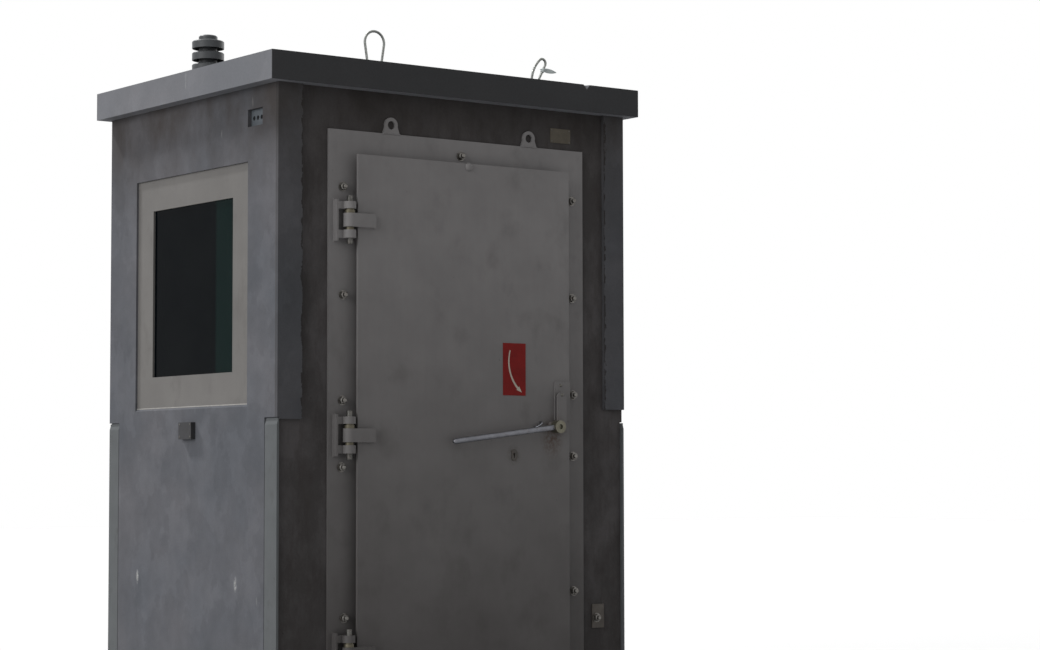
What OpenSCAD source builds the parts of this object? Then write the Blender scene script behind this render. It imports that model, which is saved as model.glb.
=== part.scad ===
// Security guard booth in precast armoured concrete
// One room with a steel door in the front wall and a thick glass window in each side wall.
// Millimetres, Z up. The origin is the middle of the base, and the front wall faces -Y.
// Distances called "from the left" start at the front left corner of the walls.
// Distances called "below the top" start at the top face of the roof slab.

/* [Concrete shell] */
// Width of the walls across the front
body_width = 1500; // [1400:10:1700]
// Depth of the walls from front to back
body_depth = 1200; // [1100:10:1400]
// Height from the base to the top of the roof slab
body_height = 2400; // [2380:10:2500]
// Thickness of every wall
wall_thickness = 150; // [120:5:180]
// Thickness of the floor slab
floor_thickness = 120; // [100:5:130]
// Thickness of the roof slab
roof_thickness = 100; // [80:5:130]
// How far the roof slab stands out at the sides
roof_side_overhang = 46; // [20:1:100]
// How far the roof slab stands out at the front and back
roof_front_overhang = 34; // [20:1:50]
// Depth of the recessed front panel between the corner strips
panel_recess = 15; // [8:1:20]
// Width of the raised corner strip at the left of the front
left_strip_width = 98; // [60:1:120]
// Width of the raised corner strip at the right of the front
right_strip_width = 92; // [60:1:120]
// Where the left front strip ends, below the top
left_strip_end = 1246; // [1100:1:1400]
// Where the right front strip ends, below the top
right_strip_end = 1194; // [1100:1:1400]

/* [Corner plates] */
// Height of the plates that guard the lower corners of the side walls
corner_plate_height = 1157; // [900:1:1160]
// Width of a corner plate at the front
front_plate_width = 78; // [60:1:100]
// Width of a corner plate at the back
back_plate_width = 72; // [60:1:100]
// Thickness of the corner plates
corner_plate_thickness = 9; // [6:1:12]
// Open joint between a corner plate and the concrete
corner_joint = 3; // [1:1:5]

/* [Door frame] */
// Left edge of the frame plate, from the left
frame_left = 206; // [195:1:210]
// Width of the frame plate
frame_width = 1106; // [1100:1:1120]
// Top edge of the frame plate, below the top
frame_top = 245; // [200:1:260]
// Bottom edge of the frame plate, above the base
frame_bottom = 42; // [20:1:60]
// Thickness of the frame plate on the concrete
frame_plate = 8; // [6:1:10]
// Thickness of the steel lining in the doorway
lining = 8; // [5:1:10]

/* [Door leaf] */
// Left edge of the outer plate, from the left
leaf_left = 301; // [300:1:302]
// Width of the outer plate
leaf_width = 916; // [900:1:920]
// Top edge of the outer plate, below the top
leaf_top = 331; // [325:1:340]
// Height of the outer plate
leaf_height = 1937; // [1920:1:1940]
// Thickness of the outer plate
leaf_plate = 10; // [8:1:12]
// How far the outer plate laps over the doorway at every side
leaf_overlap = 45; // [40:1:50]
// Gap between the leaf and the frame plate
leaf_gap = 6; // [5:0.5:8]

/* [Hinges] */
// Radius of a hinge knuckle
knuckle_radius = 22; // [18:0.5:22]
// Radius of a hinge pin
pin_radius = 10; // [8:0.5:12]
// Running gap between a pin and the knuckle it turns in
pin_fit = 0.05; // [0.02:0.01:0.1]
// Height of the strap and its knuckle
strap_height = 47; // [40:1:54]

/* [Lever] */
// Length of the lever from the pivot to its free end
lever_length = 466; // [300:1:500]
// Radius of the lever bar
lever_radius = 10; // [8:0.5:12]
// Radius of the hub that the lever is fixed in
hub_radius = 23; // [20:0.5:24]
// Slope of the lever at rest, down to the left
lever_slope = 7; // [0:0.1:12]

/* [Window] */
// Width of the window frame plate along the wall
window_width = 800; // [780:1:820]
// Height of the window frame plate
window_height = 836; // [820:1:850]
// Visible width of the window frame plate round the glass
window_border = 114; // [100:1:120]
// Near edge of the window frame plate, from the front
window_front = 200; // [190:1:205]
// Top edge of the window frame plate, below the top
window_top = 356; // [340:1:370]
// Depth of the pocket that the frame plate lies in
window_recess = 8; // [4:1:12]
// Thickness of the window frame plate
window_plate = 8; // [6:1:10]
// Thickness of the laminated glass
glass_thickness = 60; // [30:1:70]

/* [Roof vent] */
// Radius of the pipe through the roof slab
vent_pipe_radius = 50; // [45:1:52]
// Radius of the louvre skirts
vent_skirt_radius = 60; // [56:1:70]
// Number of louvre skirts
vent_skirts = 4; // [2:1:5]
// Distance from one skirt to the next
vent_pitch = 44; // [42:1:55]

/* [Hidden] */
$fn = 64;
left = -body_width / 2;
front = -body_depth / 2;
inner_x = body_width / 2 - wall_thickness;
inner_front = front + wall_thickness;
roof_base = body_height - roof_thickness;
panel_y = front + panel_recess;

function from_left(distance) = left + distance;
function from_front(distance) = front + distance;
function below_top(distance) = body_height - distance;

// Where the chip is broken out of the roof's front edge, from the left
chip_place = 1303;

// Corner plates, set back a little from the front strips
lip_setback = 3;
plate_corner_radius = 8;

// Levels of the door, from the concrete outwards
frame_face = panel_y - frame_plate;
core_back = frame_face - leaf_gap;
core_thickness = 24;
plate_back = core_back - core_thickness;
plate_face = plate_back - leaf_plate;
door_left = from_left(frame_left);
leaf_x = from_left(leaf_left);
leaf_right = leaf_x + leaf_width;
leaf_top_z = below_top(leaf_top);
leaf_z = leaf_top_z - leaf_height;

// Edge channel of the leaf
core_inset = 20;
core_width = 60;

// Clear doorway inside the lining
opening_left = leaf_x + leaf_overlap;
opening_right = leaf_right - leaf_overlap;
opening_bottom = leaf_z + leaf_overlap;
opening_top = leaf_top_z - leaf_overlap;
plug_gap = 10;
plug_back = -535;
case_sheet = 3;

// Lifting eyes on the frame
eye_places = [from_left(465), from_left(1066)];
eye_radius = 27;
eye_hole = 15;
eye_rise = 31;

// Hinges, upper, middle and lower
pin_x = leaf_x - 29;
pin_y = plate_face + 8;
hinge_heights = [below_top(561), below_top(1300), below_top(2044)];
bar_reach = 46;
bar_width = 7;
bar_depth = 22;
bar_half_height = 72;
strap_thickness = 14;
strap_reach = 94.5;
// Lower end and height of each lug, from the middle of the hinge
lugs = [[-62, 28], [39, 25]];
pin_below = 82;
pin_length = 166;
washer_end_gap = 0.3;
brass_washer_radius = 18;
brass_washer_height = 11;
steel_washer_radius = 15;

// Lever and what stands round its pivot
pivot_x = from_left(1137);
pivot_z = below_top(1262);
guard_gap = 14;
guard_plate = 8;
guard_back = plate_face - guard_gap;
guard_face = guard_back - guard_plate;
guard_half_width = 20;
guard_x = pivot_x + 31;
guard_top = pivot_z + 106;
guard_boss = 20;
backing_plate = 5;
backing_top = pivot_z + 166;
lever_y = guard_face - 15;
hub_depth = 31.5;
hub_front = 17;
spindle_radius = 8;
spindle_length = 75;
spindle_bore = spindle_radius + pin_fit;

// Padlock staple, keyhole and plates on the leaf
staple_x = from_left(1072);
staple_z = below_top(1255);
staple_tilt = 35;
staple_radius = 16;
staple_rod = 4;
staple_reach = 2;
key_x = from_left(966);
key_z = below_top(1364);
key_radius = 11;
sign_left = from_left(918);
sign_width = 100;
sign_top = below_top(964);
sign_height = 187;

// Window lining behind the frame plate
lining_inset = 81.5;
lining_sheet = 6;
lining_inner = lining_inset + lining_sheet;
glass_gap = 3;
retainer_depth = 12;
window_y0 = from_front(window_front);
window_y1 = window_y0 + window_width;
window_z1 = below_top(window_top);
window_z0 = window_z1 - window_height;

// Cable inlet in the left wall
inlet_y = from_front(104);
inlet_z = below_top(237);
inlet_width = 98;
inlet_height = 60;
inlet_depth = 18;
inlet_sheet = 4;
inlet_hole = 8;
inlet_pitch = 25;
// Distance of the middle hole from the far end of the pocket
inlet_middle = 44;
duct_depth = 50;

// Small plates and the port cover
port_y = from_front(555);
port_z = below_top(1307);
port_size = [18, 90, 60];
earth_x = from_left(1354);
earth_z = below_top(1994);
earth_size = [55, 5, 87];
earth_stud = [20, 37];
label_x = from_left(1169);
label_z = below_top(219);
label_size = [92, 2, 53];

// Roof vent
vent_x = from_left(271);
vent_y = from_front(954);
vent_wall = 4;
vent_neck = 34;
vent_rise = 28;
first_skirt = vent_rise + 5;
skirt_rim = 25;
skirt_rise = 33;
skirt_sheet = 3;
slot_width = 18;
slot_count = 6;
slot_low = 3;
slot_high = 22;
vent_top = first_skirt + (vent_skirts - 1) * vent_pitch + skirt_rise;
cap_height = 18;

// Wire loops: foot of the left leg, its lean to the right, and then the way the rope runs, as
// a list of straight lengths that each end in a bend of some radius and angle to the right
rope_radius = 5;
rope_bead = 5.2;
rope_trim = 1;
rope_depth = 60;
arch_loop = [from_left(754), from_front(577), 0,
    [[6, 60, -9], [167, 43, 198], [167, 60, -9], [6 + rope_depth, 0, 0]]];
bent_loop = [from_left(1268), from_front(270), 9,
    [[66, 116, 40], [0, 15.5, 159], [105, 60, -19], [4 + rope_depth, 0, 0]]];
loops = [arch_loop, bent_loop];

// Tag on the bent loop: middle, half length, half width and radius of its curved edges
tag_x = from_left(1355.5);
tag_z = below_top(-95);
tag_half_length = 40;
tag_half_width = 8.5;
tag_edge_radius = (pow(tag_half_length, 2) + pow(tag_half_width, 2)) / (2 * tag_half_width);
tag_sleeve = 7;
tag_sleeve_height = 16;
tag_leg_x = from_left(1329.5);
tag_leg_lean = 28;
tag_slope = 4;

// Node to build, or all of them

// A box from its low corner to its high corner
module block(low, high) {
    translate(low) cube([high[0] - low[0], high[1] - low[1], high[2] - low[2]]);
}

// A round bar along Y, from its front end backwards
module bar_y(x, y, z, r, length) {
    translate([x, y, z]) rotate([-90, 0, 0]) cylinder(h = length, r = r);
}

// A flat shape drawn in the plane of the front, X across and Z up, pushed back along +Y
module front_sheet(y, thickness) {
    translate([0, y + thickness, 0]) rotate([90, 0, 0]) linear_extrude(thickness) children();
}

// A flat shape drawn in the plane of a side wall, Y across and Z up, pushed along +X
module side_sheet(x, thickness) {
    translate([x, 0, 0]) rotate([90, 0, 90]) linear_extrude(thickness) children();
}

module rect(x0, z0, x1, z1) {
    translate([x0, z0]) square([x1 - x0, z1 - z0]);
}

module ring(x0, z0, x1, z1, border) {
    difference() {
        rect(x0, z0, x1, z1);
        rect(x0 + border, z0 + border, x1 - border, z1 - border);
    }
}

// The left half of the booth as drawn, or its mirror image for the right side (1)
module on_side(side) {
    mirror([side > 0 ? 1 : 0, 0, 0]) children();
}

module both_sides() {
    for (side = [-1, 1]) on_side(side) children();
}

// Pockets for the corner plates, with the open joint round them, in the left side
module corner_pockets() {
    top = corner_plate_height + corner_joint;
    block([left - 1, front - 1, -1],
        [left + corner_plate_thickness, front + lip_setback + front_plate_width + corner_joint, top]);
    block([left - 1, -front - back_plate_width - corner_joint, -1],
        [left + corner_plate_thickness, -front + 1, top]);
}

// Outline of a corner plate: square at the outer edge and rounded at the top of the inner edge
module plate_outline(outer_y, inner_y) {
    step = inner_y > outer_y ? -plate_corner_radius : plate_corner_radius;
    shoulder = corner_plate_height - plate_corner_radius;
    rect(min(outer_y, inner_y), 0, max(outer_y, inner_y), shoulder);
    rect(min(outer_y, inner_y + step), 0, max(outer_y, inner_y + step), corner_plate_height);
    translate([inner_y + step, shoulder]) circle(r = plate_corner_radius);
}

// One corner plate: its face ramps back near the top, below a thin upper edge
module corner_plate(outer_y, inner_y) {
    top = corner_plate_height;
    deep = left + corner_plate_thickness;
    step = corner_plate_thickness * 0.4;
    intersection() {
        side_sheet(left, corner_plate_thickness) plate_outline(outer_y, inner_y);
        front_sheet(front, body_depth)
            polygon([[left, 0], [left, top - 22], [left + step, top - 8], [left + step, top],
                [deep, top], [deep, 0]]);
    }
}

module corner_plates() {
    color([0.53, 0.55, 0.57])
        both_sides() {
            corner_plate(front + lip_setback, front + lip_setback + front_plate_width);
            corner_plate(-front, -front - back_plate_width);
        }
}

module floor_slab() {
    color([0.5, 0.5, 0.5])
        difference() {
            block([left, panel_y, 0], [-left, -front, floor_thickness]);
            both_sides() corner_pockets();
        }
}

// Wall with a window, drawn for the left side
module side_wall(strip_width, strip_end) {
    difference() {
        block([left, front, floor_thickness], [-inner_x, -front, roof_base]);
        corner_pockets();
        // Front panel recess beside the raised strip, and right across below the strip
        block([left + strip_width, front - 1, 0], [-inner_x + 1, panel_y, body_height]);
        block([left - 1, front - 1, 0], [-inner_x + 1, panel_y, body_height - strip_end]);
        window_cut();
    }
}

// Opening for the window lining, the pocket for its frame plate and the sloped sill below
module window_cut() {
    block([left - 1, window_y0 + lining_inset, window_z0 + lining_inset],
        [-inner_x + 1, window_y1 - lining_inset, window_z1 - lining_inset]);
    block([left - 1, window_y0, window_z0], [left + window_recess + window_plate, window_y1, window_z1]);
    front_sheet(window_y0, window_width)
        polygon([[left - 1, window_z0 + 1], [left - 1, window_z0 - window_recess - 1],
            [left + window_recess, window_z0], [left + window_recess, window_z0 + 1]]);
}

module left_wall() {
    color([0.52, 0.52, 0.52])
        difference() {
            side_wall(left_strip_width, left_strip_end);
            block([left - 1, inlet_y, inlet_z],
                [left + inlet_depth, inlet_y + inlet_width, inlet_z + inlet_height]);
            inlet_holes(inlet_depth + duct_depth);
        }
}

module right_wall() {
    color([0.52, 0.52, 0.52]) on_side(1) side_wall(right_strip_width, right_strip_end);
}

module back_wall() {
    color([0.5, 0.5, 0.5])
        block([-inner_x, -inner_front, floor_thickness], [inner_x, -front, roof_base]);
}

module front_left_pier() {
    color([0.48, 0.48, 0.48])
        block([-inner_x, panel_y, floor_thickness], [opening_left - lining, inner_front, roof_base]);
}

module front_right_pier() {
    color([0.48, 0.48, 0.48])
        block([opening_right + lining, panel_y, floor_thickness], [inner_x, inner_front, roof_base]);
}

module front_lintel() {
    color([0.48, 0.48, 0.48])
        block([opening_left - lining, panel_y, opening_top + lining],
            [opening_right + lining, inner_front, roof_base]);
}

module front_sill() {
    color([0.48, 0.48, 0.48])
        block([opening_left - lining, panel_y, floor_thickness],
            [opening_right + lining, inner_front, opening_bottom - lining]);
}

// Roof slab with the vent hole, the rope holes and the chip broken out of its front edge
module roof_slab() {
    x = body_width / 2 + roof_side_overhang;
    y = body_depth / 2 + roof_front_overhang;
    color([0.55, 0.55, 0.55])
        difference() {
            block([-x, -y, roof_base], [x, y, body_height]);
            translate([vent_x, vent_y, roof_base - 1]) cylinder(h = roof_thickness + 2, r = vent_pipe_radius);
            translate([from_left(chip_place), -y, body_height]) rotate([40, 0, 0]) rotate([0, 45, 0])
                cube([22, 26, 22], center = true);
            for (loop = loops) wire_loop(loop);
        }
}

// Steel frame: a plate on the concrete and a lining through the wall, welded into one piece
module door_frame() {
    color([0.6, 0.6, 0.6]) {
        front_sheet(frame_face, frame_plate) difference() {
            rect(door_left, frame_bottom, door_left + frame_width, below_top(frame_top));
            rect(opening_left, opening_bottom, opening_right, opening_top);
        }
        front_sheet(panel_y, inner_front - panel_y)
            ring(opening_left - lining, opening_bottom - lining, opening_right + lining,
                opening_top + lining, lining);
    }
}

// Two lifting eyes welded to the top edge of the frame
module frame_lifting_eyes() {
    foot = 35;
    top = below_top(frame_top);
    color([0.6, 0.6, 0.6])
        for (x = eye_places)
            front_sheet(frame_face, frame_plate) difference() {
                union() {
                    translate([x, top + eye_rise]) circle(r = eye_radius);
                    polygon([[x - foot, top], [x + foot, top], [x + eye_radius - 1, top + eye_radius - 1],
                        [x - eye_radius + 1, top + eye_radius - 1]]);
                }
                translate([x, top + eye_rise]) circle(r = eye_hole);
            }
}

// Outline of a lug seen from above: the eye round the pin and the web back to the upright plate
module lug_outline() {
    bar_left = pin_x - bar_reach;
    difference() {
        union() {
            translate([pin_x, pin_y]) circle(r = knuckle_radius);
            polygon([[bar_left, frame_face], [bar_left, frame_face - bar_depth],
                [pin_x, frame_face - bar_depth], [pin_x + knuckle_radius, pin_y],
                [pin_x + knuckle_radius, frame_face]]);
        }
        translate([pin_x, pin_y]) circle(r = pin_radius);
    }
}

// Frame half of each hinge: a thin upright plate on edge with two lugs that hold the pin
module hinge_brackets() {
    bar_left = pin_x - bar_reach;
    color([0.6, 0.6, 0.6])
        for (z = hinge_heights) {
            block([bar_left, frame_face - bar_depth, z - bar_half_height],
                [bar_left + bar_width, frame_face, z + bar_half_height]);
            for (lug = lugs)
                translate([0, 0, z + lug[0]]) linear_extrude(lug[1]) lug_outline();
        }
}

module hinge_pins() {
    color([0.7, 0.7, 0.65])
        for (z = hinge_heights)
            translate([pin_x, pin_y, z - pin_below]) cylinder(h = pin_length, r = pin_radius);
}

// A washer on the pin, from its lower face to its upper face
module washer(z0, z1, r) {
    translate([pin_x, pin_y, z0])
        difference() {
            cylinder(h = z1 - z0, r = r);
            translate([0, 0, -1]) cylinder(h = z1 - z0 + 2, r = pin_radius + pin_fit);
        }
}

// Above each strap knuckle a wide washer under a narrow one, and a narrow one below
module hinge_washers() {
    half = strap_height / 2;
    color([0.75, 0.65, 0.3])
        for (z = hinge_heights) {
            washer(z + half + washer_end_gap, z + half + brass_washer_height, brass_washer_radius);
            washer(z + half + washer_end_gap, z + lugs[1][0], steel_washer_radius);
            washer(z + lugs[0][0] + lugs[0][1], z - half - washer_end_gap, steel_washer_radius);
        }
}

// Outline of the keyhole
module keyhole() {
    translate([key_x, key_z + 3]) circle(r = 4.5);
    rect(key_x - 2, key_z - 11, key_x + 2, key_z + 3);
}

// Leaf: the outer plate, the edge channel behind it and the case that fills the doorway
module door_plate() {
    color([0.62, 0.62, 0.62])
        difference() {
            block([leaf_x, plate_face, leaf_z], [leaf_right, plate_back, leaf_top_z]);
            bar_y(pivot_x, plate_face - 1, pivot_z, spindle_bore, leaf_plate + 2);
            front_sheet(plate_face - 1, leaf_plate + 2) keyhole();
        }
}

module door_core() {
    color([0.55, 0.55, 0.55])
        front_sheet(plate_back, core_thickness) difference() {
            ring(leaf_x + core_inset, leaf_z + core_inset, leaf_right - core_inset,
                leaf_top_z - core_inset, core_width);
            translate([pivot_x, pivot_z]) circle(r = spindle_bore);
        }
}

module door_inner_case() {
    inset = plug_gap + case_sheet;
    color([0.6, 0.6, 0.6])
        difference() {
            block([opening_left + plug_gap, core_back, opening_bottom + plug_gap],
                [opening_right - plug_gap, plug_back, opening_top - plug_gap]);
            block([opening_left + inset, core_back - 1, opening_bottom + inset],
                [opening_right - inset, plug_back - case_sheet, opening_top - inset]);
        }
}

// Leaf half of each hinge: a knuckle with a flat strap across the plate
module hinge_straps() {
    color([0.62, 0.62, 0.62])
        for (z = hinge_heights)
            translate([0, 0, z - strap_height / 2])
                linear_extrude(strap_height)
                    difference() {
                        union() {
                            translate([pin_x, pin_y]) circle(r = knuckle_radius);
                            translate([pin_x, pin_y - knuckle_radius]) square([strap_reach, strap_thickness]);
                        }
                        translate([pin_x, pin_y]) circle(r = pin_radius + pin_fit);
                    }
}

// Upright guard beside the lever pivot, on two spacers, with a backing plate on the leaf
module latch_guard() {
    color([0.62, 0.62, 0.62]) {
        front_sheet(guard_face, guard_plate) difference() {
            union() {
                rect(guard_x - guard_half_width, pivot_z - guard_boss, guard_x + guard_half_width, guard_top);
                translate([guard_x, guard_top]) circle(r = guard_half_width);
                rect(pivot_x, pivot_z - guard_boss, guard_x, pivot_z + guard_boss);
                translate([pivot_x, pivot_z]) circle(r = guard_boss);
            }
            translate([pivot_x, pivot_z]) circle(r = spindle_bore);
        }
        difference() {
            bar_y(pivot_x, guard_back, pivot_z, guard_boss, guard_gap);
            bar_y(pivot_x, guard_back - 1, pivot_z, spindle_bore, guard_gap + 2);
        }
        bar_y(guard_x, guard_back, guard_top - 10, 9, guard_gap);
        front_sheet(plate_face - backing_plate, backing_plate)
            rect(guard_x - guard_half_width, pivot_z + guard_boss + 4, leaf_right, backing_top);
    }
}

// Bent rod staple above the lever, for a padlock, with its left foot lower
module padlock_staple() {
    color([0.65, 0.65, 0.68])
        translate([staple_x, plate_face - staple_reach, staple_z]) rotate([0, -staple_tilt, 0]) {
            rotate([0, 0, 180])
                rotate_extrude(angle = 180) translate([staple_radius, 0]) circle(r = staple_rod);
            for (x = [-staple_radius, staple_radius]) bar_y(x, 0, 0, staple_rod, staple_reach);
        }
}

module key_escutcheon() {
    color([0.4, 0.4, 0.4])
        front_sheet(plate_face - 3, 3) difference() {
            union() {
                rect(key_x - key_radius, key_z - 10, key_x + key_radius, key_z + 10);
                for (dz = [-10, 10]) translate([key_x, key_z + dz]) circle(r = key_radius);
            }
            keyhole();
        }
}

module sign_plate() {
    color([0.7, 0.15, 0.12])
        block([sign_left, plate_face - 1.5, sign_top - sign_height],
            [sign_left + sign_width, plate_face, sign_top]);
}

// Hub that the lever is fixed in, with the spindle that goes into the leaf
module lever_hub() {
    color([0.75, 0.7, 0.45]) {
        difference() {
            bar_y(pivot_x, lever_y - hub_front, pivot_z, hub_radius, hub_depth);
            bar_y(pivot_x, lever_y - hub_front - 1, pivot_z, 9, 8);
        }
        bar_y(pivot_x, guard_face - 1, pivot_z, spindle_radius, spindle_length);
    }
}

// Round lever with a domed end
module lever_bar() {
    color([0.7, 0.7, 0.72])
        difference() {
            translate([pivot_x, lever_y, pivot_z]) rotate([0, -90 - lever_slope, 0]) {
                cylinder(h = lever_length - lever_radius, r = lever_radius);
                translate([0, 0, lever_length - lever_radius]) sphere(r = lever_radius);
            }
            bar_y(pivot_x, lever_y - hub_front - 1, pivot_z, hub_radius, hub_depth + 9);
        }
}

// Frame plate of each window, lying in its pocket
module window_frames() {
    color([0.66, 0.64, 0.6])
        both_sides()
            side_sheet(left + window_recess, window_plate)
                ring(window_y0, window_z0, window_y1, window_z1, window_border);
}

// Steel lining of each window, from the frame plate to the inner face of the wall
module window_linings() {
    x0 = left + window_recess + window_plate;
    color([0.62, 0.61, 0.58])
        both_sides()
            side_sheet(x0, -inner_x - x0)
                ring(window_y0 + lining_inset, window_z0 + lining_inset, window_y1 - lining_inset,
                    window_z1 - lining_inset, lining_sheet);
}

module window_glass() {
    x0 = left + window_recess + window_plate;
    inset = lining_inner + glass_gap;
    color([0.1, 0.25, 0.2, 0.6])
        both_sides()
            side_sheet(x0, glass_thickness)
                rect(window_y0 + inset, window_z0 + inset, window_y1 - inset, window_z1 - inset);
}

// Retaining frames that hold the glass from inside
module window_retainers() {
    x0 = left + window_recess + window_plate + glass_thickness;
    color([0.6, 0.6, 0.6])
        both_sides()
            side_sheet(x0, retainer_depth)
                ring(window_y0 + lining_inner, window_z0 + lining_inner, window_y1 - lining_inner,
                    window_z1 - lining_inner, window_border - lining_inner);
}

// Small cover on the wall under the window
module port_cover() {
    color([0.35, 0.36, 0.38])
        block([left - port_size[0], port_y, port_z], [left, port_y + port_size[1], port_z + port_size[2]]);
}

// Three holes side by side in the cable inlet, to a depth from the face of the wall
module inlet_holes(depth) {
    middle = inlet_y + inlet_width - inlet_middle;
    for (i = [-1:1])
        translate([left - 1, middle + inlet_pitch * i, inlet_z + inlet_height / 2])
            rotate([0, 90, 0]) cylinder(h = depth + 1, r = inlet_hole);
}

// Plate with the cable holes at the bottom of its pocket
module cable_inlet() {
    color([0.7, 0.7, 0.7])
        difference() {
            block([left + inlet_depth - inlet_sheet, inlet_y + 1, inlet_z + 1],
                [left + inlet_depth, inlet_y + inlet_width - 1, inlet_z + inlet_height - 1]);
            inlet_holes(inlet_depth + 1);
        }
}

// Earthing plate low on the front, with its stud
module earth_plate() {
    color([0.68, 0.68, 0.66]) {
        block([earth_x, panel_y - earth_size[1], earth_z],
            [earth_x + earth_size[0], panel_y, earth_z + earth_size[2]]);
        bar_y(earth_x + earth_stud[0], panel_y - 25, earth_z + earth_stud[1], 8, 22);
    }
}

module label_plate() {
    color([0.75, 0.68, 0.5])
        block([label_x, panel_y - label_size[1], label_z],
            [label_x + label_size[0], panel_y, label_z + label_size[2]]);
}

// Roof vent: a pipe through the slab, a cowl of louvre skirts on a slotted neck, and a cap
module vent_pipe() {
    color([0.5, 0.5, 0.52])
        translate([vent_x, vent_y, roof_base])
            difference() {
                cylinder(h = roof_thickness + vent_rise, r = vent_pipe_radius);
                translate([0, 0, -1])
                    cylinder(h = roof_thickness + vent_rise + 2, r = vent_pipe_radius - vent_wall);
            }
}

// Section of one louvre skirt: a sloping shoulder and an upright rim, open below
module skirt_section(z0) {
    rim = vent_skirt_radius;
    rim_top = z0 + skirt_rim;
    shoulder = z0 + skirt_rise;
    polygon([[vent_neck - 1, shoulder], [vent_neck + 6, shoulder], [rim - 3, rim_top + 3], [rim, rim_top],
        [rim, z0], [rim - skirt_sheet, z0], [rim - skirt_sheet, rim_top - 2], [rim - 5, rim_top],
        [vent_neck + 5, shoulder - skirt_sheet], [vent_neck - 1, shoulder - skirt_sheet]]);
}

// Air slots through the neck behind one skirt
module neck_slots(z0, z1) {
    inside = vent_neck - vent_wall - 4;
    for (i = [0:slot_count - 1])
        rotate([0, 0, (i + 0.5) * 360 / slot_count])
            block([inside, -slot_width / 2, z0], [vent_neck + 2, slot_width / 2, z1]);
}

// Louvred cowl on the pipe: socket, flange, slotted neck and skirts
module vent_cowl() {
    socket = vent_pipe_radius + 1.5;
    neck_inside = vent_neck - vent_wall;
    color([0.5, 0.5, 0.52])
        translate([vent_x, vent_y, body_height])
            difference() {
                union() {
                    rotate_extrude() translate([neck_inside, vent_rise])
                        square([vent_wall, vent_top - vent_rise]);
                    rotate_extrude() translate([neck_inside, vent_rise])
                        square([socket + 3.5 - neck_inside, 3]);
                    rotate_extrude() translate([socket, vent_rise - 18]) square([3.5, 21]);
                    for (k = [0:vent_skirts - 1])
                        rotate_extrude() skirt_section(first_skirt + k * vent_pitch);
                }
                for (k = [0:vent_skirts - 1]) {
                    z0 = first_skirt + k * vent_pitch;
                    neck_slots(z0 + slot_low, z0 + slot_high);
                }
            }
}

module vent_cap() {
    cap = vent_neck + 1;
    color([0.5, 0.5, 0.52])
        translate([vent_x, vent_y, body_height + vent_top])
            rotate_extrude()
                polygon([[0, 0], [cap, 0], [cap, cap_height - 6], [cap - 4, cap_height - 2],
                    [cap - 11, cap_height], [0, cap_height]]);
}

// Heading of a rope before step i of its way, in degrees to the right of upright
function heading(steps, i) = i == 0 ? 0 : heading(steps, i - 1) + steps[i - 1][2];

// Place of a rope before step i of its way, across and up
function place(steps, i) = i == 0 ? [0, 0] : let(
        h0 = heading(steps, i - 1),
        h1 = heading(steps, i),
        r = steps[i - 1][1] * sign(steps[i - 1][2])
    )
    place(steps, i - 1) + steps[i - 1][0] * [sin(h0), cos(h0)] + r * [cos(h0) - cos(h1), sin(h1) - sin(h0)];

// Rope that runs upwards from the origin along its steps. Its straights and bends end just
// short of each other, inside a round bead that is hardly thicker than the rope.
module rope_run(steps) {
    for (i = [0:len(steps) - 1]) {
        straight = steps[i][0];
        radius = steps[i][1];
        bend = steps[i][2];
        at = place(steps, i);
        trim = bend == 0 ? 0 : rope_trim / radius * 180 / PI;
        translate([at[0], 0, at[1]]) rotate([0, heading(steps, i), 0]) {
            sphere(r = rope_bead);
            if (straight > 0) {
                translate([0, 0, rope_trim]) cylinder(h = straight - 2 * rope_trim, r = rope_radius);
                translate([0, 0, straight]) sphere(r = rope_bead);
            }
            if (bend != 0)
                translate([0, 0, straight]) mirror([bend < 0 ? 1 : 0, 0, 0])
                    translate([radius, 0, 0]) rotate([90, 0, 0]) rotate([0, 0, 180 - abs(bend) + trim])
                        rotate_extrude(angle = abs(bend) - 2 * trim)
                            translate([radius, 0]) circle(r = rope_radius);
        }
    }
}

// One wire loop with the ends of its legs deep in the roof slab
module wire_loop(loop) {
    translate([loop[0], loop[1], body_height]) rotate([0, loop[2], 0]) {
        translate([0, 0, -rope_depth]) cylinder(h = rope_depth - rope_trim, r = rope_radius);
        rope_run(loop[3]);
    }
}

// Wire rope lifting loops cast into the roof slab
module lifting_loops() {
    color([0.6, 0.6, 0.58])
        for (loop = loops) wire_loop(loop);
}

// Leaf-shaped tag with a sleeve round the right leg of the bent loop
module loop_tag() {
    y = bent_loop[1];
    spread = tag_edge_radius - tag_half_width;
    color([0.85, 0.87, 0.85])
        difference() {
            union() {
                translate([tag_leg_x, y, tag_z]) rotate([0, tag_leg_lean, 0])
                    cylinder(h = tag_sleeve_height, r = tag_sleeve, center = true);
                translate([tag_x, y, tag_z]) rotate([0, tag_slope, 0])
                    front_sheet(-1, 2) intersection() {
                        translate([0, spread]) circle(r = tag_edge_radius);
                        translate([0, -spread]) circle(r = tag_edge_radius);
                    }
            }
            translate([tag_leg_x, y, tag_z]) rotate([0, tag_leg_lean, 0])
                cylinder(h = 5 * tag_sleeve_height, r = rope_radius + 0.4, center = true);
        }
}

floor_slab();
back_wall();
left_wall();
right_wall();
front_left_pier();
front_right_pier();
front_lintel();
front_sill();
roof_slab();
corner_plates();
door_frame();
frame_lifting_eyes();
hinge_brackets();
hinge_pins();
hinge_washers();
door_plate();
door_core();
door_inner_case();
hinge_straps();
latch_guard();
padlock_staple();
key_escutcheon();
sign_plate();
lever_hub();
lever_bar();
window_frames();
window_linings();
window_glass();
window_retainers();
port_cover();
cable_inlet();
earth_plate();
label_plate();
vent_pipe();
vent_cowl();
vent_cap();
lifting_loops();
loop_tag();
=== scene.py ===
import math

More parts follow.
